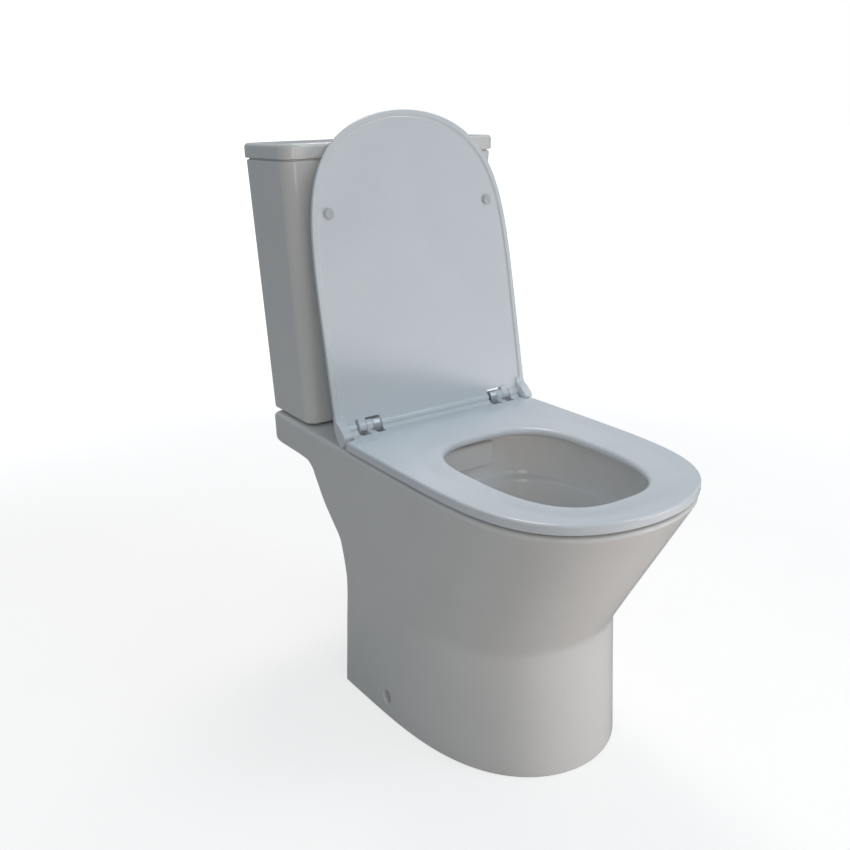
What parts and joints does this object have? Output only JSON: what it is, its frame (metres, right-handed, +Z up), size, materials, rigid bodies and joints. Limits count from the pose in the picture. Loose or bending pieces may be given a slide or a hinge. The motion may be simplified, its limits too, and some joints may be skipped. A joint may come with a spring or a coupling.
{
  "type": "close-coupled toilet",
  "caption": "Close-coupled toilet with a shrouded pan, separate cistern and lid, twin push buttons and a slim D-shaped seat with its cover standing open.",
  "frame": {"origin": "on the floor, at the middle of the bounding box in plan, with the cover standing open", "axes": "+Z up, +Y towards the wall behind, -Y the front of the bowl, +X to the right of a person who stands in front and faces the toilet"},
  "size_m": [0.388, 0.69, 0.8931],
  "materials": {
    "china": "gloss",
    "seat_plastic": "gloss",
    "white_plastic": "satin",
    "grey_plastic": "satin",
    "float_plastic": "satin",
    "chrome": "polished",
    "steel": "satin",
    "brass": "satin",
    "rubber": "matte",
    "clear_rubber": "satin"
  },
  "bodies": {
    "toilet": {"bracket_screw_left": "steel", "bracket_screw_right": "steel", "cistern": "china", "coupling_bolt_left": "brass", "coupling_bolt_right": "brass", "coupling_nut_left": "brass", "coupling_nut_right": "brass", "coupling_washer_left": "rubber", "coupling_washer_right": "rubber", "deck_washer_left": "steel", "deck_washer_right": "steel", "doughnut_gasket": "rubber", "fill_valve": "white_plastic", "floor_bracket_left": "steel", "floor_bracket_right": "steel", "flush_valve_base": "white_plastic", "flush_valve_frame": "white_plastic", "flush_valve_nut": "white_plastic", "hinge_pin_left": "steel", "hinge_pin_right": "steel", "hinge_post_left": "steel", "hinge_post_right": "steel", "inlet_nut": "white_plastic", "inlet_plug": "white_plastic", "inlet_washer": "rubber", "pan": "china", "plug_nut": "white_plastic", "seat_bolt_left": "steel", "seat_bolt_right": "steel", "seat_nut_left": "white_plastic", "seat_nut_right": "white_plastic", "seat_washer_left": "rubber", "seat_washer_right": "rubber", "side_screw_left": "steel", "side_screw_right": "steel"},
    "seat_ring": {"seat_ring": "seat_plastic", "ring_lug_left": "seat_plastic", "ring_lug_right": "seat_plastic", "ring_buffer_rear_left": "clear_rubber", "ring_buffer_rear_right": "clear_rubber", "ring_buffer_front_left": "clear_rubber", "ring_buffer_front_right": "clear_rubber"},
    "seat_cover": {"seat_cover": "seat_plastic", "cover_lug_left": "seat_plastic", "cover_lug_right": "seat_plastic", "cover_ear_left": "seat_plastic", "cover_ear_right": "seat_plastic", "cover_buffer_left": "clear_rubber", "cover_buffer_right": "clear_rubber"},
    "cistern_lid": {"cistern_lid": "china", "button_housing": "chrome", "button_housing_nut": "white_plastic"},
    "full_button": {"flush_button_full": "chrome", "flush_rod_full": "white_plastic"},
    "half_button": {"flush_button_half": "chrome", "flush_rod_half": "white_plastic"},
    "flush_tube": {"overflow_tube": "white_plastic", "flush_seal": "rubber"},
    "float": {"float_cup": "float_plastic"},
    "float_arm": {"float_arm": "grey_plastic"}
  },
  "joints": [
    {"name": "cover_hinge", "type": "hinge", "parent": "toilet", "child": "seat_cover", "pos_m": [0, 0.113, 0.441], "axis": [-1, 0, 0], "range_deg": [-100.8, 0]},
    {"name": "ring_hinge", "type": "hinge", "parent": "toilet", "child": "seat_ring", "pos_m": [0, 0.113, 0.441], "axis": [-1, 0, 0], "range_deg": [0, 100.7]},
    {"name": "lid_lift", "type": "slide", "parent": "toilet", "child": "cistern_lid", "axis": [0, 0, 1], "range_m": [0, 0.06]},
    {"name": "full_button_press", "type": "slide", "parent": "cistern_lid", "child": "full_button", "axis": [0, 0, 1], "range_m": [-0.006, 0], "stiffness_N_per_m": 300, "springref_m": 0.003},
    {"name": "half_button_press", "type": "slide", "parent": "cistern_lid", "child": "half_button", "axis": [0, 0, 1], "range_m": [-0.006, 0], "stiffness_N_per_m": 300, "springref_m": 0.003},
    {"name": "tube_lift", "type": "slide", "parent": "toilet", "child": "flush_tube", "axis": [0, 0, 1], "range_m": [0, 0.012]},
    {"name": "float_rise", "type": "slide", "parent": "toilet", "child": "float", "axis": [0, 0, 1], "range_m": [0, 0.014]},
    {"name": "float_arm_pivot", "type": "hinge", "parent": "toilet", "child": "float_arm", "pos_m": [0.134, 0.278, 0.7494], "axis": [0, 1, 0], "range_deg": [0, 21]}
  ],
  "couplings": [
    {"joint": "full_button_press", "follows": "tube_lift", "ratio": -0.5},
    {"joint": "float_arm_pivot", "follows": "float_rise", "rad_per_m": 26}
  ]
}
